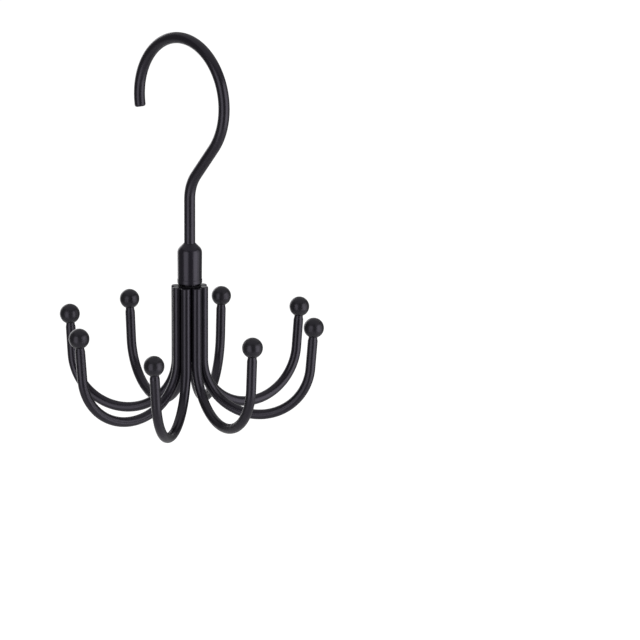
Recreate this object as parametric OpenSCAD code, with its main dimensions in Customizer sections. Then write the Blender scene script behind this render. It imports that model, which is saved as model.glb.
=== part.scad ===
// Turning tie hanger: a bent wire hook, a domed swivel collar and a ring of
// upturned wire arms, each with a ball on its tip. Millimetres, +Z up.
// The origin is the inside of the hook's crown, where the hanger hangs.
// The hook lies in the XZ plane and the swivel axis is upright, hook_offset
// towards +X.

/* [Hook] */
// Diameter of the hook's wire
hook_wire_d = 5.6; // [4.8:0.1:6.4]
// Inside diameter of the hook's round
hook_inner_d = 57.8; // [52:0.2:66]
// Sideways distance from the crown to the swivel axis
hook_offset = 6.25; // [4:0.25:9]
// How far the tail runs on below level, in degrees
tail_angle = 12; // [0:1:30]
// Rounding of the tail's cut end
tail_round = 1.2; // [0.4:0.1:1.8]
// Angle of the slanting run, from upright
slant_angle = 40.7; // [37:0.1:46]
// Radius of the bend above the shank, to the wire's middle
neck_bend_r = 19.7; // [14:0.1:24]
// Straight shank that shows above the collar
shank_l = 22.1; // [14:0.1:36]

/* [Swivel] */
// Radial clearance of the shank in the collar's guide hole
swivel_play = 0.08; // [0.04:0.01:0.1]
// Up and down clearance of the swivel
end_play = 0.1; // [0.05:0.05:0.4]
// Height of the upset head on the shank's lower end
head_h = 2.6; // [1.8:0.1:3.6]
// Bevel round the head's lower edge
head_bevel = 0.8; // [0.3:0.1:1.2]
// Radial clearance of the head in the collar
head_gap = 0.35; // [0.2:0.05:0.5]
// Thickness of the thrust washer
washer_t = 0.8; // [0.5:0.1:1.2]
// Radial clearance of the washer in the collar
washer_gap = 0.2; // [0.1:0.05:0.4]
// Room between the head and the core rod's top
head_room = 0.8; // [0.4:0.1:1.6]

/* [Collar] */
// Height of the collar, from its foot to the edge round the shank
collar_h = 20.6; // [18:0.1:26]
// Wall of the collar round the core rod
collar_wall = 1.74; // [1.2:0.02:2.2]
// Thickness of the collar's roof, at the guide hole
roof_t = 5.2; // [4:0.1:6.4]
// Slope of the dome, from level
dome_slope = 45; // [38:1:52]
// Rounding of the shoulder under the dome
shoulder_round = 4; // [2.4:0.1:4.2]
// How much the collar narrows towards its foot, each side
collar_draft = 0.1; // [0.05:0.05:0.3]
// Height of the rolled edge at the foot
rolled_h = 2.3; // [1.4:0.1:3.2]
// How far the rolled edge stands out
rolled_out = 0.16; // [0.06:0.02:0.3]
// Bevel on the rolled edge's corners
rolled_bevel = 0.3; // [0.1:0.1:0.6]
// Gap between the collar's foot and the arms' top ends
collar_gap = 1.4; // [1.2:0.1:3]

/* [Arms] */
// Number of arms round the core rod
arm_count = 8; // [8:1:10]
// Diameter of an arm's wire
arm_wire_d = 5; // [4.6:0.1:5.6]
// Gap between neighbouring stems
arm_gap = 0.36; // [0.2:0.02:0.6]
// Direction of the first arm, counter-clockwise from +X
first_arm_angle = 33; // [0:1:44]
// Length of an arm's straight stem
stem_l = 38.1; // [30:0.1:60]
// Radius of an arm's bend, to the wire's middle
arm_bend_r = 27.5; // [18:0.1:34]
// How far the upturned tip leans outwards, in degrees
tip_lean = 4.3; // [0:0.1:12]
// Straight run of the tip, from the bend to the ball's middle
tip_run_l = 21; // [16:0.1:40]
// Rounding of a stem's cut top end
stem_round = 0.45; // [0.2:0.05:1]
// The one arm that is bent lower and wider than the rest
low_arm = 7; // [1:1:8]
// How much longer the low arm's stem is
low_arm_drop = 3.5; // [0:0.1:5]
// How much more the low arm's tip leans outwards, in degrees
low_arm_open = 5.8; // [0:0.1:10]

/* [Core rod and welds] */
// Gap between the core rod and the stems, bridged by the welds
stem_seat_gap = 0.05; // [0.03:0.01:0.1]
// How far the core rod runs on past the start of the bends
core_past_bend = 1.2; // [0.4:0.1:3]
// Chamfer on the core rod's ends
core_chamfer = 0.5; // [0.2:0.1:0.8]
// Radius of the weld beads
weld_r = 0.7; // [0.4:0.05:0.9]

/* [Balls] */
// Diameter of the ball on an arm's tip
ball_d = 10.2; // [8:0.1:13]
// Gap between the end of the wire's taper and the ball
neck_gap = 0.2; // [0.1:0.1:1.2]
// Length of the taper from the wire down to the spigot
neck_taper_l = 1.4; // [0.4:0.1:2.4]
// Diameter of the spigot that holds the ball
spigot_d = 4.4; // [3.4:0.1:4.5]
// Depth of the spigot inside the ball
spigot_depth = 4; // [3:0.1:5]
// Radial clearance of a pushed-in spigot, taken up by its glue
push_gap = 0.02; // [0.01:0.01:0.05]
// Air left at the bottom of the ball's hole
hole_air = 0.3; // [0.1:0.1:0.6]

/* [Hidden] */
$fn = 96;
arm_numbers = [1:arm_count];

// Overlap of the two halves that a bend is drawn in, in degrees
bend_lap = 4;
// How far a cut runs past the face that it opens
cut_past = 1;

// Small turn of each arm about its own stem, out of even spacing, in degrees
arm_twists = [3, -2, 0.5, -0.1, 0, 1.5, 0, -0.8];

// How much higher each arm is bent, out of even bending
arm_rises = [0.7, 1.5, 0.1, -0.2, 0.3, -0.2, 0, 0.1];

// How much more each arm's tip leans outwards, in degrees
arm_leans = [0, 0, 0.6, 0.2, -1.1, 0, 0, -1.1];

// Hook wire, from the crown down to the top of the shank
hook_bend_r = (hook_inner_d + hook_wire_d) / 2;
hook_mid_z = -hook_inner_d / 2;
slant_top_x = hook_bend_r * cos(slant_angle);
slant_top_z = hook_mid_z - hook_bend_r * sin(slant_angle);
slant_foot_x = hook_offset + neck_bend_r * (1 - cos(slant_angle));
slant_l = (slant_top_x - slant_foot_x) / sin(slant_angle);
shank_top_z = slant_top_z - slant_l * cos(slant_angle) - neck_bend_r * sin(slant_angle);

// Ring of stems and the core rod that fills it
arm_ring_r = (arm_wire_d + arm_gap) / 2 / sin(180 / arm_count);
core_r = arm_ring_r - arm_wire_d / 2 - stem_seat_gap;

// Collar, bored to take the core rod
bore_r = core_r + push_gap;
collar_r = bore_r + collar_wall;
guide_r = hook_wire_d / 2 + swivel_play;
dome_arc_r = collar_r - shoulder_round;
dome_arc_end = [dome_arc_r + shoulder_round * sin(dome_slope), shoulder_round * cos(dome_slope)];
dome_h = dome_arc_end.y + (dome_arc_end.x - guide_r) * tan(dome_slope);
shoulder_h = collar_h - dome_h;

// Heights down the swivel axis
collar_top_z = shank_top_z - shank_l;
collar_foot_z = collar_top_z - collar_h;
roof_z = collar_top_z - roof_t;
washer_z = roof_z - end_play - washer_t;
head_z = washer_z - head_h;
core_top_z = head_z - head_room;
stem_top_z = collar_foot_z - collar_gap;
core_foot_z = stem_top_z - stem_l - core_past_bend;

// Plain wire of a tip, from its bend to the taper
plain_run_l = tip_run_l - ball_d / 2 - neck_gap - neck_taper_l;

wire_colour = [0.13, 0.13, 0.15];
collar_colour = [0.16, 0.16, 0.18];
ball_colour = [0.1, 0.1, 0.11];
steel_colour = [0.6, 0.61, 0.63];
weld_colour = [0.2, 0.2, 0.21];

function own_share(shares, i) = shares[(i - 1) % len(shares)];
function arm_stem_l(i) = stem_l - own_share(arm_rises, i) + (i == low_arm ? low_arm_drop : 0);
function arm_lean(i) = tip_lean + own_share(arm_leans, i) + (i == low_arm ? low_arm_open : 0);

// Straight stretch of wire along +Z, with children at its far end
module straight(length, wire_d) {
    cylinder(h = length, d = wire_d);
    translate([0, 0, length])
        children();
}

// Wire that sets off along +Z and bends over towards +X, with children at its
// far end. Its first half is drawn from the near end and its second half from
// the far end, so that both ends meet what joins them squarely.
module bend(bend_r, sweep, wire_d) {
    half = sweep / 2;
    translate([bend_r, 0, 0]) {
        bend_arc(bend_r, 180 - half - bend_lap, half + bend_lap, wire_d);
        rotate([0, sweep, 0]) {
            bend_arc(bend_r, 180, half, wire_d);
            translate([-bend_r, 0, 0])
                children();
        }
    }
}

// Arc of wire round the origin, upright in the XZ plane
module bend_arc(bend_r, start, sweep, wire_d) {
    rotate([90, 0, 0])
        rotate_extrude(angle = sweep, start = start)
            translate([bend_r, 0])
                circle(d = wire_d);
}

// Cut end of a wire that runs along +Z, with its edge rounded over
module rounded_end(wire_d, round) {
    rotate_extrude() {
        square([wire_d / 2 - round, round]);
        translate([wire_d / 2 - round, 0])
            intersection() {
                circle(r = round);
                square(round);
            }
    }
}

// Drawn as the wire is fed: head, shank, slanting run, round and tail
module hook() {
    color(wire_colour)
        translate([hook_offset, 0, washer_z]) {
            mirror([0, 0, 1])
                shank_head();
            straight(shank_top_z - washer_z, hook_wire_d)
                bend(neck_bend_r, slant_angle, hook_wire_d)
                    straight(slant_l, hook_wire_d)
                        rotate([0, 0, 180])
                            bend(hook_bend_r, 180 + slant_angle + tail_angle, hook_wire_d)
                                rounded_end(hook_wire_d, tail_round);
        }
}

// Upset head that carries the washer and the collar, its lower edge bevelled
module shank_head() {
    head_r = bore_r - head_gap;
    cylinder(h = head_h - head_bevel, r = head_r);
    translate([0, 0, head_h - head_bevel])
        cylinder(h = head_bevel, r1 = head_r, r2 = head_r - head_bevel);
}

module thrust_washer() {
    color(steel_colour)
        translate([hook_offset, 0, washer_z])
            difference() {
                cylinder(h = washer_t, r = bore_r - washer_gap);
                translate([0, 0, -cut_past])
                    cylinder(h = washer_t + 2 * cut_past, r = guide_r);
            }
}

// Half of the collar's outside, from its foot up to the dome's top edge
module collar_outline() {
    foot_r = collar_r - collar_draft;
    rolled_r = foot_r + rolled_out;
    polygon([
        [0, 0],
        [rolled_r - rolled_bevel, 0],
        [rolled_r, rolled_bevel],
        [rolled_r, rolled_h - rolled_bevel],
        [foot_r, rolled_h],
        [collar_r, shoulder_h],
        [0, shoulder_h]
    ]);
    translate([dome_arc_r, shoulder_h])
        intersection() {
            circle(r = shoulder_round);
            square(shoulder_round);
        }
    polygon([
        [0, shoulder_h],
        [dome_arc_r, shoulder_h],
        [dome_arc_end.x, shoulder_h + dome_arc_end.y],
        [guide_r, collar_h],
        [0, collar_h]
    ]);
}

module swivel_collar() {
    color(collar_colour)
        translate([hook_offset, 0, collar_foot_z])
            difference() {
                rotate_extrude()
                    collar_outline();
                translate([0, 0, -cut_past])
                    cylinder(h = collar_h - roof_t + cut_past, r = bore_r);
                cylinder(h = collar_h + cut_past, r = guide_r);
            }
}

module core_rod() {
    color(wire_colour)
        translate([hook_offset, 0, core_foot_z]) {
            cylinder(h = core_chamfer, r1 = core_r - core_chamfer, r2 = core_r);
            translate([0, 0, core_chamfer])
                cylinder(h = core_top_z - core_foot_z - 2 * core_chamfer, r = core_r);
            translate([0, 0, core_top_z - core_foot_z - core_chamfer])
                cylinder(h = core_chamfer, r1 = core_r, r2 = core_r - core_chamfer);
        }
}

// Half-round bead laid in a ring, flat side down
module weld_bead(ring_r) {
    color(weld_colour)
        rotate_extrude()
            translate([ring_r, 0])
                intersection() {
                    circle(r = weld_r);
                    translate([-weld_r, 0])
                        square([2 * weld_r, weld_r]);
                }
}

// Joins the stems' top ends to the core rod, in the gap under the collar
module upper_weld() {
    translate([hook_offset, 0, stem_top_z])
        weld_bead(core_r + weld_r);
}

// Runs round the core rod's lower end face, between the bends
module lower_weld() {
    translate([hook_offset, 0, core_foot_z])
        mirror([0, 0, 1])
            weld_bead(core_r - core_chamfer - weld_r);
}

// Puts children at an arm's top end, with +Z down its stem and +X outwards
module at_stem(i) {
    translate([hook_offset, 0, stem_top_z])
        rotate([0, 0, first_arm_angle + (i - 1) * 360 / arm_count])
            translate([arm_ring_r, 0, 0])
                rotate([0, 0, own_share(arm_twists, i)])
                    rotate([180, 0, 0])
                        children();
}

module arm(i) {
    color(wire_colour)
        at_stem(i)
            translate([0, 0, stem_round]) {
                mirror([0, 0, 1])
                    rounded_end(arm_wire_d, stem_round);
                straight(arm_stem_l(i) - stem_round, arm_wire_d)
                    bend(arm_bend_r, 180 - arm_lean(i), arm_wire_d)
                        arm_tip();
            }
}

// Straight tip: wire, its taper and the spigot for the ball
module arm_tip() {
    straight(plain_run_l, arm_wire_d) {
        cylinder(h = neck_taper_l, d1 = arm_wire_d, d2 = spigot_d);
        translate([0, 0, neck_taper_l])
            cylinder(h = neck_gap + spigot_depth, d = spigot_d);
    }
}

// Puts children where an arm's tip sets off from its bend, with +Z along the tip
module at_tip(i) {
    at_stem(i)
        translate([arm_bend_r, 0, arm_stem_l(i)])
            rotate([0, 180 - arm_lean(i), 0])
                translate([-arm_bend_r, 0, 0])
                    children();
}

module ball(i) {
    color(ball_colour)
        at_tip(i)
            translate([0, 0, tip_run_l])
                difference() {
                    sphere(d = ball_d);
                    translate([0, 0, -ball_d / 2 - cut_past])
                        cylinder(h = cut_past + spigot_depth + hole_air, r = spigot_d / 2 + push_gap);
                }
}

hook();
thrust_washer();
swivel_collar();
core_rod();
upper_weld();
lower_weld();
for (i = arm_numbers) {
    arm(i);
    ball(i);
}
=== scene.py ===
import math
import bmesh
import bpy
from mathutils import Matrix, Vector


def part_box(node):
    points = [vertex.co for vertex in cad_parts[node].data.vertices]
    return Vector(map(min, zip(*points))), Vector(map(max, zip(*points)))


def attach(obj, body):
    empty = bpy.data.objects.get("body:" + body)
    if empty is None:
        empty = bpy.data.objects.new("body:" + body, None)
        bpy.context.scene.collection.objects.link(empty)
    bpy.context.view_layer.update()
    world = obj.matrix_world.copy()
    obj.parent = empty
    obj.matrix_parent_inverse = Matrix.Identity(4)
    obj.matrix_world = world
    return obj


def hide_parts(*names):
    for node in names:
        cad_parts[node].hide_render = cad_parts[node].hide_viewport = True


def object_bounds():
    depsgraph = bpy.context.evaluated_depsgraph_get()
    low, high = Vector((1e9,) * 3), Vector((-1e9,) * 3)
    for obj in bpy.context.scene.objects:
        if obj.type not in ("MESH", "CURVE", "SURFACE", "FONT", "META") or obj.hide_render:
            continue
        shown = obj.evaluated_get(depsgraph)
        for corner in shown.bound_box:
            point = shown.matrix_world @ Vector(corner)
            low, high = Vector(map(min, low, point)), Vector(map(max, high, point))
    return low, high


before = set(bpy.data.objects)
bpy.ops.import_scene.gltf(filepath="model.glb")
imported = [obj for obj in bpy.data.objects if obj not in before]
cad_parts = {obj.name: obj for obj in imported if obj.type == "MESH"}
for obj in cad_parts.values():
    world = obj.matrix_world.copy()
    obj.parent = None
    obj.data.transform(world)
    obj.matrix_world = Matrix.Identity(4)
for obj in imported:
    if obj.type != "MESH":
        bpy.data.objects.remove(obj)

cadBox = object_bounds()
mm = 0.001


# A node's output, with the operators that the expressions below use
class Link:
    def __init__(self, board, socket):
        self.board = board
        self.socket = socket

    def __add__(self, other):
        return self.board.math("ADD", self, other)

    def __sub__(self, other):
        return self.board.math("SUBTRACT", self, other)

    def __rsub__(self, other):
        return self.board.math("SUBTRACT", other, self)

    def __mul__(self, other):
        return self.board.math("MULTIPLY", self, other)

    def __truediv__(self, other):
        return self.board.math("DIVIDE", self, other)

    __radd__ = __add__
    __rmul__ = __mul__


# A node tree and the few ways in which nodes are added to it
class Board:
    def __init__(self, tree):
        self.tree = tree

    def add(self, kind, settings=None, sockets=None, output=0):
        node = self.tree.nodes.new(kind)
        for name, value in (settings or {}).items():
            setattr(node, name, value)
        for name, value in (sockets or {}).items():
            if isinstance(value, Link):
                self.tree.links.new(value.socket, node.inputs[name])
            else:
                node.inputs[name].default_value = value
        return Link(self, node.outputs[output]) if len(node.outputs) else None

    def math(self, operation, first, second=0.0):
        return self.add("ShaderNodeMath", {"operation": operation}, {0: first, 1: second})

    def between(self, value, low, high):
        return self.math("MINIMUM", self.math("MAXIMUM", value, low), high)

    def vector(self, x=0.0, y=0.0, z=0.0):
        return self.add("ShaderNodeCombineXYZ", None, {0: x, 1: y, 2: z})

    # The Mix node's colours are its sockets 6 and 7, and its output 2
    def mixColour(self, amount, first, second):
        return self.add("ShaderNodeMix", {"data_type": "RGBA"}, {0: amount, 6: first, 7: second}, 2)

    # Noise whose lumps are about as wide as size
    def noise(self, place, size, detail=2.0, stretch=0.0):
        sockets = {"Vector": place, "Scale": 1 / size, "Detail": detail, "Distortion": stretch}
        return self.add("ShaderNodeTexNoise", None, sockets, "Fac")

    # A value that the mesh holds at each of its points
    def attribute(self, name):
        return self.add("GeometryNodeInputNamedAttribute", {"data_type": "FLOAT"}, {"Name": name})


# A colour given as it shows on a screen, from 0 to 255
def rgb(red, green, blue):
    def linear(shade):
        share = shade / 255
        return share / 12.92 if share <= 0.04045 else ((share + 0.055) / 1.055) ** 2.4
    return (linear(red), linear(green), linear(blue), 1.0)


# Materials

def newMaterial(name):
    material = bpy.data.materials.new(name)
    material.use_nodes = True
    material.node_tree.nodes.clear()
    return material, Board(material.node_tree)


def closeMaterial(board, shader):
    board.add("ShaderNodeOutputMaterial", None, {"Surface": shader})


# Satin powder coat: a slow drift of tone, orange peel and a fine dry grain
def powderCoat(name, look):
    material, board = newMaterial(name)
    place = board.add("ShaderNodeTexCoord", output="Object")
    drift = board.noise(place, look["driftSize"])
    peel = board.noise(place, look["peelSize"], detail=1.0)
    grain = board.noise(place, look["grainSize"], detail=3.0)
    tone = board.between(drift * 2 - 0.5, 0, 1)  # the drift's middle half spans both shades
    colour = board.mixColour(tone, look["deepShade"], look["paleShade"])
    roughness = look["roughness"] + look["roughnessDrift"] * (drift + grain - 1)
    height = look["peelHeight"] * peel + look["grainHeight"] * grain
    normal = board.add("ShaderNodeBump", None, {"Distance": 1.0, "Height": height})
    closeMaterial(board, board.add("ShaderNodeBsdfPrincipled", None, {
        "Base Color": colour,
        "Roughness": roughness,
        "Specular IOR Level": look["gloss"],
        "Specular Tint": look["glossTint"],
        "Normal": normal,
    }))
    return material


wireCoat = powderCoat("wireCoat", {
    "deepShade": rgb(14, 12, 17),
    "paleShade": rgb(20, 18, 24),
    "driftSize": 14 * mm,
    "peelSize": 1.5 * mm,
    "peelHeight": 0.008 * mm,
    "grainSize": 0.16 * mm,
    "grainHeight": 0.0015 * mm,
    "roughness": 0.27,
    "roughnessDrift": 0.08,
    "gloss": 0.54,
    "glossTint": rgb(241, 234, 255),
})

collarCoat = powderCoat("collarCoat", {
    "deepShade": rgb(15, 13, 19),
    "paleShade": rgb(20, 18, 25),
    "driftSize": 9 * mm,
    "peelSize": 1.2 * mm,
    "peelHeight": 0.007 * mm,
    "grainSize": 0.14 * mm,
    "grainHeight": 0.002 * mm,
    "roughness": 0.27,
    "roughnessDrift": 0.06,
    "gloss": 0.54,
    "glossTint": rgb(241, 234, 255),
})

# The weld coat's near-black shades are painted shade: darker than the wire coat, so that the recess
# under the collar, where the upper bead sits, reads as shadow. The lower bead wears the same coat.
weldCoat = powderCoat("weldCoat", {
    "deepShade": rgb(8, 8, 9),
    "paleShade": rgb(14, 14, 15),
    "driftSize": 2 * mm,
    "peelSize": 0.5 * mm,
    "peelHeight": 0.03 * mm,
    "grainSize": 0.12 * mm,
    "grainHeight": 0.006 * mm,
    "roughness": 0.6,
    "roughnessDrift": 0.15,
    "gloss": 0.25,
    "glossTint": rgb(241, 234, 255),
})


# Moulded plastic: a fine spark texture with a few smoother patches
def mouldedPlastic(name, look):
    material, board = newMaterial(name)
    place = board.add("ShaderNodeTexCoord", output="Object")
    cloud = board.noise(place, look["cloudSize"], stretch=0.6)
    spark = board.noise(place, look["sparkSize"], detail=4.0)
    colour = board.mixColour(cloud, look["deepShade"], look["paleShade"])
    roughness = look["roughness"] + look["roughnessDrift"] * (cloud + spark - 1)
    normal = board.add("ShaderNodeBump", None, {"Distance": look["sparkHeight"], "Height": spark})
    closeMaterial(board, board.add("ShaderNodeBsdfPrincipled", None, {
        "Base Color": colour,
        "Roughness": roughness,
        "Specular IOR Level": look["gloss"],
        "Specular Tint": look["glossTint"],
        "Normal": normal,
    }))
    return material


ballPlastic = mouldedPlastic("ballPlastic", {
    "deepShade": rgb(18, 18, 20),
    "paleShade": rgb(27, 26, 29),
    "cloudSize": 4 * mm,
    "sparkSize": 0.3 * mm,
    "sparkHeight": 0.02 * mm,
    "roughness": 0.3,
    "roughnessDrift": 0.12,
    "gloss": 0.5,
    "glossTint": rgb(241, 234, 255),
})


# Turned steel: fine rings round the upright through middleX
def turnedSteel(name, look, middleX):
    material, board = newMaterial(name)
    place = board.add("ShaderNodeTexCoord", output="Object")
    centred = board.add("ShaderNodeMapping", None, {"Vector": place, "Location": (-middleX, 0, 0)})
    rings = board.add("ShaderNodeTexWave", {
        "wave_type": "RINGS",
        "rings_direction": "Z",
    }, {"Vector": centred, "Scale": 1 / look["ringPitch"], "Distortion": 2.0, "Detail": 3.0}, "Fac")
    stain = board.noise(place, look["stainSize"], detail=3.0)
    colour = board.mixColour(stain, look["deepShade"], look["paleShade"])
    normal = board.add("ShaderNodeBump", None, {"Distance": look["ringHeight"], "Height": rings})
    closeMaterial(board, board.add("ShaderNodeBsdfPrincipled", None, {
        "Base Color": colour,
        "Metallic": 1.0,
        "Roughness": look["roughness"] + look["roughnessDrift"] * (rings - 0.5),
        "Normal": normal,
    }))
    return material


# Outlines and turned pieces

# Gives an outline's points, with each corner (radius, height, rounding) eased into an arc of
# steps no wider than turnStep. A point at the distance hold from each end of an arc keeps the
# shading of the flat beside it true.
def easedOutline(corners, closed=False, turnStep=math.radians(8), hold=0.05 * mm):
    points = []
    last = len(corners) - 1
    for number, (x, y, rounding) in enumerate(corners):
        corner = Vector((x, y))
        if rounding == 0 or (not closed and number in (0, last)):
            points.append(corner)
            continue
        before = Vector(corners[number - 1][:2]) - corner
        after = Vector(corners[(number + 1) % len(corners)][:2]) - corner
        half = before.angle(after) / 2
        reach = rounding / math.tan(half)
        inward = (before.normalized() + after.normalized()).normalized()
        centre = corner + inward * rounding / math.sin(half)
        spoke = corner + before.normalized() * reach - centre
        sweep = math.pi - 2 * half
        if before.x * after.y - before.y * after.x > 0:
            sweep = -sweep
        steps = max(3, math.ceil(abs(sweep) / turnStep))  # a small arc has three too
        if before.length > 2 * (reach + hold):
            points.append(corner + before.normalized() * (reach + hold))
        for step in range(steps + 1):
            points.append(centre + Matrix.Rotation(sweep * step / steps, 2) @ spoke)
        if after.length > 2 * (reach + hold):
            points.append(corner + after.normalized() * (reach + hold))
    return points


# Turns an outline round the upright through middleX; a closed outline makes a ring, and a
# point nearer to the upright than poleRadius becomes a pole
def turnedMesh(name, outline, closed, middleX, sides, poleRadius=0.001 * mm):
    build = bmesh.new()
    rings = []
    for point in outline:
        if point.x < poleRadius:
            rings.append([build.verts.new((middleX, 0, point.y))])
            continue
        ring = []
        for side in range(sides):
            turn = math.tau * side / sides
            ring.append(build.verts.new((
                middleX + point.x * math.cos(turn),
                point.x * math.sin(turn),
                point.y,
            )))
        rings.append(ring)
    if closed:
        rings.append(rings[0])
    for lower, upper in zip(rings, rings[1:]):
        for side in range(sides):
            nextSide = (side + 1) % sides
            corners = [lower[side % len(lower)], lower[nextSide % len(lower)]]
            corners += [upper[nextSide % len(upper)], upper[side % len(upper)]]
            build.faces.new(list(dict.fromkeys(corners)))
    bmesh.ops.recalc_face_normals(build, faces=build.faces)
    for face in build.faces:
        face.smooth = True
    mesh = bpy.data.meshes.new(name)
    build.to_mesh(mesh)
    build.free()
    return mesh


def newPiece(name, mesh, material=None):
    piece = bpy.data.objects.new(name, mesh)
    bpy.context.collection.objects.link(piece)
    if material:
        mesh.materials.append(material)
    return piece


# Puts a finished piece on its body, in place of the nodes that it stands for
def fit(piece, body, nodes):
    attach(piece, body)
    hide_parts(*nodes)
    print("made", piece.name, "with", len(piece.data.polygons), "faces")


# Geometry Nodes

# A tree with named number inputs, and its board and input links
def newTree(name, inputs):
    tree = bpy.data.node_groups.new(name, "GeometryNodeTree")
    tree.interface.new_socket("Geometry", in_out="INPUT", socket_type="NodeSocketGeometry")
    for label in inputs:
        tree.interface.new_socket(label, in_out="INPUT", socket_type="NodeSocketFloat")
    tree.interface.new_socket("Geometry", in_out="OUTPUT", socket_type="NodeSocketGeometry")
    board = Board(tree)
    entry = tree.nodes.new("NodeGroupInput")
    links = {socket.name: Link(board, socket) for socket in entry.outputs if socket.name}
    return tree, board, links


def closeTree(board, geometry, material):
    smooth = board.add("GeometryNodeSetShadeSmooth", None, {"Geometry": geometry})
    plain = board.add("GeometryNodeRealizeInstances", None, {"Geometry": smooth})
    dressed = board.add("GeometryNodeSetMaterial", None, {"Geometry": plain, "Material": material})
    board.add("NodeGroupOutput", None, {"Geometry": dressed})


# Runs a tree on a piece with these input values, and keeps the result as its plain mesh
def grow(piece, tree, values):
    modifier = piece.modifiers.new(tree.name, "NODES")
    modifier.node_group = tree
    for item in tree.interface.items_tree:
        if item.in_out == "INPUT" and item.name in values:
            modifier[item.identifier] = values[item.name]
    graph = bpy.context.evaluated_depsgraph_get()
    mesh = bpy.data.meshes.new_from_object(piece.evaluated_get(graph))
    piece.modifiers.clear()
    build = bmesh.new()
    build.from_mesh(mesh)
    bmesh.ops.recalc_face_normals(build, faces=build.faces)
    build.to_mesh(mesh)
    build.free()
    mesh.name = piece.name
    piece.data = mesh
    return piece


# Where a point lies on a wire that is fed through straight runs and bends. Each run is
# ("straight", length) or ("bend", radius, sweep), and a bend to the other side has a minus
# radius and sweep. Gives the distances sideways and along the feed.
def followRuns(board, along, runs):
    def sine(angle):
        return board.math("SINE", angle) if isinstance(angle, Link) else math.sin(angle)

    def cosine(angle):
        return board.math("COSINE", angle) if isinstance(angle, Link) else math.cos(angle)

    aside = feed = start = heading = 0
    for run in runs:
        if run[0] == "straight":
            length = run[1]
            gone = board.between(along - start, 0, length)
            aside = gone * sine(heading) + aside
            feed = gone * cosine(heading) + feed
            start = start + length
            continue
        radius, sweep = run[1:]
        length = radius * sweep
        turned = board.between(along - start, 0, length) / radius + heading
        aside = (cosine(heading) - board.math("COSINE", turned)) * radius + aside
        feed = (board.math("SINE", turned) - sine(heading)) * radius + feed
        start = start + length
        heading = heading + sweep
    return aside, feed


# A mesh of open chains. Each chain is a dictionary of what its points hold.
def chainPiece(name, chains):
    mesh = bpy.data.meshes.new(name)
    counts = [len(chain["along"]) for chain in chains]
    edges = []
    start = 0
    for count in counts:
        edges += [(start + step, start + step + 1) for step in range(count - 1)]
        start += count
    mesh.from_pydata([(0, 0, 0)] * start, edges, [])
    for key in chains[0]:
        values = []
        for chain, count in zip(chains, counts):
            held = chain[key]
            values += held if isinstance(held, list) else [held] * count
        mesh.attributes.new(key, "FLOAT", "POINT").data.foreach_set("value", values)
    return newPiece(name, mesh)


# Splits a wire's outline (girth, along) into rings no further apart than step
def ringStations(outline, step):
    girths = []
    alongs = []
    for first, second in zip(outline, outline[1:]):
        parts = max(1, math.ceil((second.y - first.y) / step))
        for part in range(parts):
            share = part / parts
            girths.append(first.x + (second.x - first.x) * share)
            alongs.append(first.y + (second.y - first.y) * share)
    girths.append(outline[-1].x)
    alongs.append(outline[-1].y)
    return {"girth": girths, "along": alongs}


# Sweeps a round wire, of the girth that its points hold, along their curve
def sweepWire(board, curve, sides):
    ring = board.add("GeometryNodeCurvePrimitiveCircle", None, {"Resolution": sides, "Radius": 1.0})
    return board.add("GeometryNodeCurveToMesh", None, {
        "Curve": curve,
        "Profile Curve": ring,
        "Scale": board.attribute("girth"),
        "Fill Caps": True,
    })


# Places measured on the frame

def nodeSpan(node):
    low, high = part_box(node)
    return Vector(low), Vector(high)


collarLow, collarHigh = nodeSpan("swivel_collar")
coreLow, coreHigh = nodeSpan("core_rod")
hookLow, hookHigh = nodeSpan("hook")
axisX = (collarLow.x + collarHigh.x) / 2
rolledRadius = (collarHigh.x - collarLow.x) / 2
coreRadius = (coreHigh.x - coreLow.x) / 2
stemTop = nodeSpan("arm_1")[1].z
armNumbers = range(1, 1 + sum(name.startswith("arm_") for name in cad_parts))
capShare = 0.2  # of a wire's radius: where the small flat in the middle of its end stops

# The hook: head, shank, slanting run, round and tail, drawn as one wire

hookLook = {
    "wireDiameter": 5.6 * mm,
    "slantAngle": math.radians(40.7),
    "neckBendRadius": 19.7 * mm,
    "tailAngle": math.radians(12),
    "tailRounding": 1.2 * mm,
    "headHeight": 2.6 * mm,
    "headBevel": 0.8 * mm,
    "headRadius": 4.12 * mm,
    "headFootRounding": 0.1 * mm,
    "headRounding": 0.2 * mm,
    "headNeckRounding": 0.02 * mm,
    "endDoming": 0.08 * mm,
    "ringStep": 1.2 * mm,
    "sides": 64,
}


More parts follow.
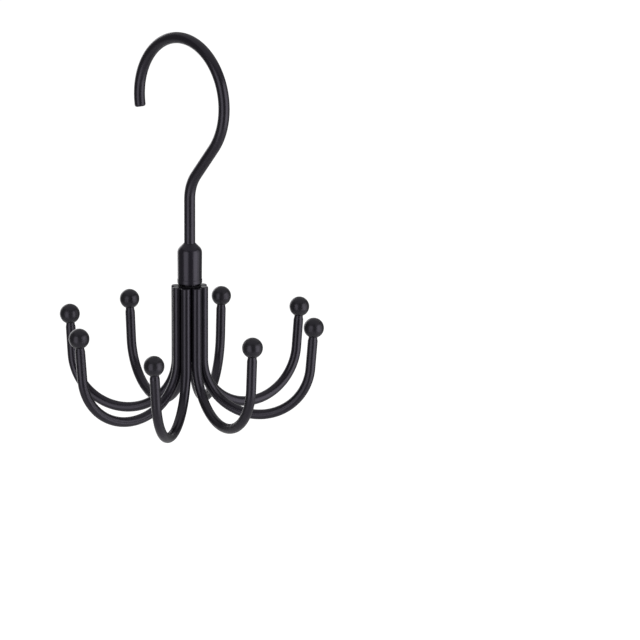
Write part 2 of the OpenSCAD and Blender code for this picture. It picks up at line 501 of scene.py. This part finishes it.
def makeHook(look):
    wireRadius = look["wireDiameter"] / 2
    roundRadius = hookHigh.x - wireRadius
    neckRadius = look["neckBendRadius"]
    slant = look["slantAngle"]
    # The slanting run leaves the round and meets the neck bend above the shank
    slantTop = Vector((math.cos(slant), -1 - math.sin(slant))) * roundRadius
    slantTop.y += wireRadius
    slantFootX = axisX + neckRadius * (1 - math.cos(slant))
    slantLength = (slantTop.x - slantFootX) / math.sin(slant)
    shankTop = slantTop.y - slantLength * math.cos(slant) - neckRadius * math.sin(slant)
    roundSweep = math.pi + slant + look["tailAngle"]
    sizes = {
        "Foot Height": hookLow.z,
        "Shank Length": shankTop - hookLow.z,
        "Neck Bend Radius": neckRadius,
        "Slant Angle": slant,
        "Slant Length": slantLength,
        "Round Radius": roundRadius,
        "Round Sweep": roundSweep,
        "Axis Offset": axisX,
    }
    bentLength = neckRadius * slant + slantLength + roundRadius * roundSweep
    length = sizes["Shank Length"] + bentLength
    capRadius = capShare * wireRadius
    headRadius = look["headRadius"]
    headTop = look["headHeight"]
    bevel = look["headBevel"]
    doming = look["endDoming"]
    outline = easedOutline([
        (capRadius, 0, 0),
        (headRadius - bevel, doming, look["headFootRounding"]),
        (headRadius, bevel + doming, look["headRounding"]),
        (headRadius, headTop - doming, look["headRounding"]),
        (wireRadius, headTop, look["headNeckRounding"]),
        (wireRadius, length - doming, look["tailRounding"]),
        (capRadius, length, 0),
    ])

    tree, board, size = newTree("hookWire", sizes)
    aside, feed = followRuns(board, board.attribute("along"), [
        ("straight", size["Shank Length"]),
        ("bend", size["Neck Bend Radius"], size["Slant Angle"]),
        ("straight", size["Slant Length"]),
        ("bend", size["Round Radius"] * -1, size["Round Sweep"] * -1),
    ])
    curve = board.add("GeometryNodeMeshToCurve", None, {"Mesh": size["Geometry"]})
    placed = board.add("GeometryNodeSetPosition", None, {
        "Geometry": curve,
        "Position": board.vector(size["Axis Offset"] + aside, 0.0, size["Foot Height"] + feed),
    })
    closeTree(board, sweepWire(board, placed, look["sides"]), wireCoat)
    chain = chainPiece("hookWire", [ringStations(outline, look["ringStep"])])
    fit(grow(chain, tree, sizes), "hook", ["hook"])


makeHook(hookLook)

# The ring of arms: each leaves its stem, bends up and ends in a spigot for its ball

armLook = {
    "wireDiameter": 5.0 * mm,
    "seatGap": 0.05 * mm,
    "firstArmAngle": math.radians(33),
    "bendRadius": 27.5 * mm,
    "tipRun": 21 * mm,
    "stemRounding": 0.45 * mm,
    "neckTaper": 1.4 * mm,
    "neckGap": 0.2 * mm,
    "neckRounding": 0.3 * mm,
    "spigotDiameter": 4.4 * mm,
    "spigotDepth": 4.0 * mm,
    "spigotRounding": 0.2 * mm,
    "endDoming": 0.05 * mm,
    "ringStep": 1.2 * mm,
    "sides": 48,
}

ballLook = {
    "diameter": 10.2 * mm,
    "holeRadius": 2.22 * mm,
    "holeDepth": 4.3 * mm,
    "holeRounding": 0.1 * mm,
    "lipRounding": 0.3 * mm,
    "lipMiddle": (0.25, 0.3),  # out and up, as shares of the lip's rounding
    "turnSeed": 7,
    "sides": 64,
}


# Reads an arm's turn, lean and stem length off the place of its ball
def armShape(number):
    around = armLook["firstArmAngle"] + (number - 1) * math.tau / len(armNumbers)
    ringRadius = coreRadius + armLook["seatGap"] + armLook["wireDiameter"] / 2
    stem = Vector((axisX + ringRadius * math.cos(around), ringRadius * math.sin(around)))
    low, high = nodeSpan(f"ball_{number}")
    ball = Vector(((low.x + high.x) / 2, (low.y + high.y) / 2, high.z - ballLook["diameter"] / 2))
    reach = ball.xy - stem
    bend = armLook["bendRadius"]
    run = armLook["tipRun"]
    lean = math.atan2(run, bend) - math.acos((reach.length - bend) / math.hypot(bend, run))
    rise = run * math.cos(lean) - bend * math.sin(lean)
    return {
        "stemX": stem.x,
        "stemY": stem.y,
        "aim": math.atan2(reach.y, reach.x),
        "lean": lean,
        "stemLength": stemTop - ball.z + rise,
        "ball": ball,
    }


armShapes = [armShape(number) for number in armNumbers]


def makeArms(look):
    wireRadius = look["wireDiameter"] / 2
    capRadius = capShare * wireRadius
    spigotRadius = look["spigotDiameter"] / 2
    doming = look["endDoming"]
    chains = []
    for shape in armShapes:
        bendLength = look["bendRadius"] * (math.pi - shape["lean"])
        tipLength = look["tipRun"] - ballLook["diameter"] / 2 - look["neckGap"]
        shoulder = shape["stemLength"] + bendLength + tipLength
        end = shoulder + look["neckGap"] + look["spigotDepth"]
        outline = easedOutline([
            (capRadius, 0, 0),
            (wireRadius, doming, look["stemRounding"]),
            (wireRadius, shoulder - look["neckTaper"], look["neckRounding"]),
            (spigotRadius, shoulder, look["neckRounding"]),
            (spigotRadius, end - doming, look["spigotRounding"]),
            (capRadius, end, 0),
        ])
        held = {key: shape[key] for key in ("stemX", "stemY", "aim", "lean", "stemLength")}
        chains.append(ringStations(outline, look["ringStep"]) | held)

    sizes = {
        "Stem Top": stemTop,
        "Bend Radius": look["bendRadius"],
        "Tip Run": look["tipRun"],
    }
    tree, board, size = newTree("armWires", sizes)
    lean = board.attribute("lean")
    aim = board.attribute("aim")
    aside, feed = followRuns(board, board.attribute("along"), [
        ("straight", board.attribute("stemLength")),
        ("bend", size["Bend Radius"], math.pi - lean),
        ("straight", size["Tip Run"]),
    ])
    curve = board.add("GeometryNodeMeshToCurve", None, {"Mesh": size["Geometry"]})
    placed = board.add("GeometryNodeSetPosition", None, {
        "Geometry": curve,
        "Position": board.vector(
            board.attribute("stemX") + board.math("COSINE", aim) * aside,
            board.attribute("stemY") + board.math("SINE", aim) * aside,
            size["Stem Top"] - feed,
        ),
    })
    closeTree(board, sweepWire(board, placed, look["sides"]), wireCoat)
    wires = grow(chainPiece("armWires", chains), tree, sizes)
    fit(wires, "carousel", [f"arm_{number}" for number in armNumbers])


makeArms(armLook)


# The balls: one moulded shape, set on each tip with a turn of its own

def makeBalls(look):
    radius = look["diameter"] / 2
    hole = look["holeRadius"]
    holeEnd = look["holeDepth"] - radius
    lip = look["lipRounding"]
    lipHeight = -math.sqrt(radius ** 2 - hole ** 2)
    lipOut, lipUp = look["lipMiddle"]
    outline = [Vector((0, holeEnd))]
    outline += easedOutline([
        (hole / 2, holeEnd, 0),
        (hole, holeEnd, look["holeRounding"]),
        (hole, lipHeight + lip, 0),
    ])
    # The lip rolls from the hole's wall into the ball
    outline.append(Vector((hole + lipOut * lip, lipHeight + lipUp * lip)))
    turnSteps = look["sides"] // 2
    firstTurn = math.asin(hole / radius) + lip / radius
    for step in range(turnSteps + 1):
        turn = firstTurn + (math.pi - firstTurn) * step / turnSteps
        outline.append(Vector((radius * math.sin(turn), -radius * math.cos(turn))))
    pattern = newPiece("ballPattern", turnedMesh("ballPattern", outline, False, 0, look["sides"]))

    mesh = bpy.data.meshes.new("ballTips")
    mesh.from_pydata([shape["ball"] for shape in armShapes], [], [])
    for key in ("aim", "lean"):
        values = [shape[key] for shape in armShapes]
        mesh.attributes.new(key, "FLOAT", "POINT").data.foreach_set("value", values)

    tree, board, size = newTree("ballTips", {"Turn Seed": 0})
    aim = board.attribute("aim")
    lean = board.attribute("lean")
    leanSine = board.math("SINE", lean)
    tipLine = board.vector(
        board.math("COSINE", aim) * leanSine,
        board.math("SINE", aim) * leanSine,
        board.math("COSINE", lean),
    )
    upright = board.add("FunctionNodeAlignRotationToVector", {"axis": "Z"}, {"Vector": tipLine})
    spin = board.add("FunctionNodeRandomValue", {"data_type": "FLOAT"}, {
        "Max": math.tau,
        "Seed": size["Turn Seed"],
    }, 1)
    turned = board.add("FunctionNodeRotateRotation", {"rotation_space": "LOCAL"}, {
        "Rotation": upright,
        "Rotate By": board.vector(0.0, 0.0, spin),
    })
    source = board.add("GeometryNodeObjectInfo", None, {"Object": pattern}, "Geometry")
    ringOfBalls = board.add("GeometryNodeInstanceOnPoints", None, {
        "Points": size["Geometry"],
        "Instance": source,
        "Rotation": turned,
    })
    closeTree(board, ringOfBalls, ballPlastic)
    balls = grow(newPiece("ballTips", mesh), tree, {"Turn Seed": look["turnSeed"]})
    bpy.data.objects.remove(pattern)
    fit(balls, "carousel", [f"ball_{number}" for number in armNumbers])


makeBalls(ballLook)

# The collar: a domed shell, bored from below for the core rod

collarLook = {
    "swivelPlay": 0.08 * mm,
    "pushGap": 0.02 * mm,
    "roofThickness": 5.2 * mm,
    "domeSlope": math.radians(45),
    "shoulderRounding": 4.0 * mm,
    "draft": 0.1 * mm,
    "rolledHeight": 2.3 * mm,
    "rolledOut": 0.16 * mm,
    "rolledBevel": 0.3 * mm,
    "rollRounding": 0.25 * mm,
    "innerRounding": 0.1 * mm,
    "sides": 128,
}


def makeCollar(look):
    foot = collarLow.z
    top = collarHigh.z
    guide = hookLook["wireDiameter"] / 2 + look["swivelPlay"]
    bore = coreRadius + look["pushGap"]
    footRadius = rolledRadius - look["rolledOut"]
    collarRadius = footRadius + look["draft"]
    shoulder = top - (collarRadius - guide) * math.tan(look["domeSlope"])
    bevel = look["rolledBevel"]
    roll = look["rollRounding"]
    inner = look["innerRounding"]
    outline = easedOutline([
        (guide, top, inner),
        (collarRadius, shoulder, look["shoulderRounding"]),
        (footRadius, foot + look["rolledHeight"], roll),
        (rolledRadius, foot + look["rolledHeight"] - bevel, roll),
        (rolledRadius, foot + bevel, roll),
        (rolledRadius - bevel, foot, inner),
        (bore, foot, inner),
        (bore, top - look["roofThickness"], inner),
        (guide, top - look["roofThickness"], inner),
    ], closed=True)
    mesh = turnedMesh("collarShell", outline, True, axisX, look["sides"])
    fit(newPiece("collarShell", mesh, collarCoat), "carousel", ["swivel_collar"])


makeCollar(collarLook)

# The core rod that the stems stand round

rodLook = {
    "chamfer": 0.5 * mm,
    "edgeRounding": 0.12 * mm,
    "sides": 96,
}


def makeCoreRod(look):
    foot = coreLow.z
    top = coreHigh.z
    chamfer = look["chamfer"]
    soft = look["edgeRounding"]
    outline = easedOutline([
        (0, foot, 0),
        (coreRadius - chamfer, foot, soft),
        (coreRadius, foot + chamfer, soft),
        (coreRadius, top - chamfer, soft),
        (coreRadius - chamfer, top, soft),
        (0, top, 0),
    ])
    mesh = turnedMesh("coreRod", outline, False, axisX, look["sides"])
    fit(newPiece("coreRod", mesh, wireCoat), "carousel", ["core_rod"])


makeCoreRod(rodLook)

# The weld beads: a ring of overlapping ripples, flat on the side that it is laid on

weldLook = {
    "ripplePitch": 1.5 * mm,
    "rippleDepth": 0.3,
    "rippleLean": 0.6,  # below 1, a ripple's crest stands nearer to where it starts
    "curveSteps": 360,
    "sides": 20,
}


def makeWeld(name, node, upwards, look):
    low, high = nodeSpan(node)
    beadRadius = high.z - low.z
    ringRadius = (high.x - low.x) / 2 - beadRadius
    base = low.z if upwards else high.z
    ripples = round(math.tau * ringRadius / look["ripplePitch"])
    sizes = {
        "Ring Radius": ringRadius,
        "Bead Radius": beadRadius,
        "Ripples": float(ripples),
        "Ripple Depth": look["rippleDepth"],
        "Base Height": base,
        "Axis Offset": axisX,
    }
    tree, board, size = newTree(name, sizes)
    ring = board.add("GeometryNodeCurvePrimitiveCircle", None, {
        "Resolution": look["curveSteps"],
        "Radius": size["Ring Radius"],
    })
    share = board.add("GeometryNodeSplineParameter", output="Factor")
    # Each ripple swells fast from where it starts and falls slowly to the next one
    swell = board.math("FRACT", share * size["Ripples"])
    hump = board.math("SINE", board.math("POWER", swell, look["rippleLean"]) * math.pi)
    girth = size["Bead Radius"] * (1 - size["Ripple Depth"] * (1 - hump))
    profile = board.add("GeometryNodeCurvePrimitiveCircle", None, {
        "Resolution": look["sides"],
        "Radius": 1.0,
    })
    bead = board.add("GeometryNodeCurveToMesh", None, {
        "Curve": ring,
        "Profile Curve": profile,
        "Scale": girth,
    })
    spot = board.add("GeometryNodeInputPosition")
    x, y, height = [board.add("ShaderNodeSeparateXYZ", None, {0: spot}, axis) for axis in range(3)]
    flat = board.math("MAXIMUM" if upwards else "MINIMUM", height, 0.0)
    laid = board.vector(x + size["Axis Offset"], y, flat + size["Base Height"])
    placed = board.add("GeometryNodeSetPosition", None, {"Geometry": bead, "Position": laid})
    closeTree(board, placed, weldCoat)
    bead = grow(newPiece(name, bpy.data.meshes.new(name)), tree, sizes)
    fit(bead, "carousel", [node])


makeWeld("upperWeldBead", "upper_weld", True, weldLook)
makeWeld("lowerWeldBead", "lower_weld", False, weldLook)

# The thrust washer keeps its own mesh and gets a turned steel finish

washerSteel = turnedSteel("washerSteel", {
    "deepShade": rgb(150, 152, 156),
    "paleShade": rgb(196, 197, 200),
    "ringPitch": 0.25 * mm,
    "ringHeight": 0.004 * mm,
    "stainSize": 1.5 * mm,
    "roughness": 0.34,
    "roughnessDrift": 0.12,
}, axisX)
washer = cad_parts["thrust_washer"]
washer.data.materials.clear()
washer.data.materials.append(washerSteel)
print("dressed the washer")

# Camera at the photo's viewing angle, aimed by where the swivel axis crosses the picture

view = {
    "pictureSize": 640,
    "focalLength": 3138,  # in pixels of that picture
    "distance": 1.576,
    "azimuth": math.radians(45.98),
    "elevation": math.radians(13.45),
    "roll": math.radians(0.49),
    "axisPixel": (189.74, 292.58),
    "axisHeight": -125.25 * mm,
    "sensorWidth": 36.0,
    "nearClip": 0.05,
    "farClip": 60.0,
}


def makeCamera(look):
    turn = Matrix.Rotation(look["azimuth"], 3, "Z")
    level = Vector((0, math.cos(look["elevation"]), -math.sin(look["elevation"])))
    forward = turn @ level
    flatRight = turn @ Vector((1, 0, 0))
    flatUp = flatRight.cross(forward)
    cosine = math.cos(look["roll"])
    sine = math.sin(look["roll"])
    right = cosine * flatRight + sine * flatUp
    up = cosine * flatUp - sine * flatRight
    half = look["pictureSize"] / 2
    across = (look["axisPixel"][0] - half) / look["focalLength"]
    down = (look["axisPixel"][1] - half) / look["focalLength"]
    target = Vector((axisX, 0, look["axisHeight"]))
    place = target - look["distance"] * (forward + right * across - up * down)
    data = bpy.data.cameras.new("photoCamera")
    data.sensor_width = look["sensorWidth"]
    data.lens = look["focalLength"] / look["pictureSize"] * look["sensorWidth"]
    data.clip_start = look["nearClip"]
    data.clip_end = look["farClip"]
    camera = bpy.data.objects.new("photoCamera", data)
    bpy.context.collection.objects.link(camera)
    camera.matrix_world = Matrix((
        (right.x, up.x, -forward.x, place.x),
        (right.y, up.y, -forward.y, place.y),
        (right.z, up.z, -forward.z, place.z),
        (0, 0, 0, 1),
    ))
    bpy.context.scene.camera = camera


makeCamera(view)

# Soft boxes round the object. Angles are in degrees, azimuths from the camera to its right,
# and the rest in metres; a glow of 1 is white.

softBoxes = {
    "leftBox": dict(azimuth=-33, rise=0, distance=1.3, width=1.0, height=1.6, glow=1.45),
    "rightBox": dict(azimuth=59, rise=0, distance=1.3, width=1.0, height=1.6, glow=2.0),
    "sideBox": dict(azimuth=93, rise=0, distance=1.3, width=0.5, height=1.6, glow=1.0),
    "backBox": dict(azimuth=-150, rise=0, distance=1.5, width=1.0, height=1.5, glow=1.3),
    "backWall": dict(azimuth=180, rise=14, distance=1.5, width=1.8, height=0.7, glow=0.43),
    "topBox": dict(azimuth=180, rise=84, distance=1.4, width=2.8, height=2.8, glow=0.33),
}
softBoxMiddle = Vector((axisX, 0, -120 * mm))


def makeSoftBox(name, look):
    azimuth = view["azimuth"] + math.radians(look["azimuth"])
    rise = math.radians(look["rise"])
    level = Vector((math.sin(azimuth), -math.cos(azimuth), 0))
    outward = level * math.cos(rise) + Vector((0, 0, math.sin(rise)))
    data = bpy.data.lights.new(name, "AREA")
    data.shape = "RECTANGLE"
    data.size = look["width"]
    data.size_y = look["height"]
    data.energy = look["glow"] * math.pi * look["width"] * look["height"]
    box = bpy.data.objects.new(name, data)
    bpy.context.collection.objects.link(box)
    box.location = softBoxMiddle + outward * look["distance"]
    box.rotation_mode = "QUATERNION"
    box.rotation_quaternion = (-outward).to_track_quat("-Z", "Y")
    box.visible_camera = False


for boxName, boxLook in softBoxes.items():
    makeSoftBox(boxName, boxLook)

# The room and its floor: white to the camera, with a plain soft light on the object and a
# pale grey in its reflections, which keeps the satin black dark

stageLook = {
    "ambient": 0.2,
    "reflected": 0.2,
    "floorDrop": 0.75,
    "floorShade": (0.82, 0.82, 0.82, 1.0),
    "nearLift": 0.3,
    "farLift": 0.9,
    "liftReach": 2.0,
    "floorRadius": 12.0,
    "floorSides": 96,
}


# One level to the camera and through glass, one in reflections and one for all other light
def seenLevel(board, direct, reflected, rest):
    path = board.tree.nodes.new("ShaderNodeLightPath")
    names = ("Is Camera Ray", "Is Transmission Ray", "Is Glossy Ray")
    camera, transmission, glossy = [Link(board, path.outputs[name]) for name in names]
    seen = board.between(camera + transmission, 0, 1)
    return (direct - rest) * seen + (reflected - rest) * glossy + rest


def makeWorld(look):
    world = bpy.data.worlds.new("paleRoom")
    world.use_nodes = True
    world.node_tree.nodes.clear()
    board = Board(world.node_tree)
    strength = seenLevel(board, 1.0, look["reflected"], look["ambient"])
    light = board.add("ShaderNodeBackground", None, {"Color": (1, 1, 1, 1), "Strength": strength})
    board.add("ShaderNodeOutputWorld", None, {"Surface": light})
    bpy.context.scene.world = world


# The floor is lifted to white far out, and less under the object, where its shadow lies
def makeFloor(look):
    material, board = newMaterial("paleFloor")
    place = board.add("ShaderNodeTexCoord", output="Object")
    reach = board.add("ShaderNodeVectorMath", {"operation": "LENGTH"}, {0: place}, "Value")
    share = board.between(reach / look["liftReach"], 0, 1)
    lifted = look["nearLift"] + (look["farLift"] - look["nearLift"]) * share
    matte = board.add("ShaderNodeBsdfDiffuse", None, {"Color": look["floorShade"]})
    lift = board.add("ShaderNodeEmission", None, {
        "Color": (1, 1, 1, 1),
        "Strength": seenLevel(board, 1.0, 0.0, 0.0) * lifted,
    })
    closeMaterial(board, board.add("ShaderNodeAddShader", None, {0: matte, 1: lift}))
    build = bmesh.new()
    bmesh.ops.create_circle(
        build, cap_ends=True, radius=look["floorRadius"], segments=look["floorSides"])
    mesh = bpy.data.meshes.new("floor")
    build.to_mesh(mesh)
    build.free()
    floor = newPiece("floor", mesh, material)
    floor.location = (axisX, 0, cadBox[0].z - look["floorDrop"])


makeWorld(stageLook)
makeFloor(stageLook)
print("set the stage")

scene = bpy.context.scene
scene.view_settings.view_transform = "Standard"
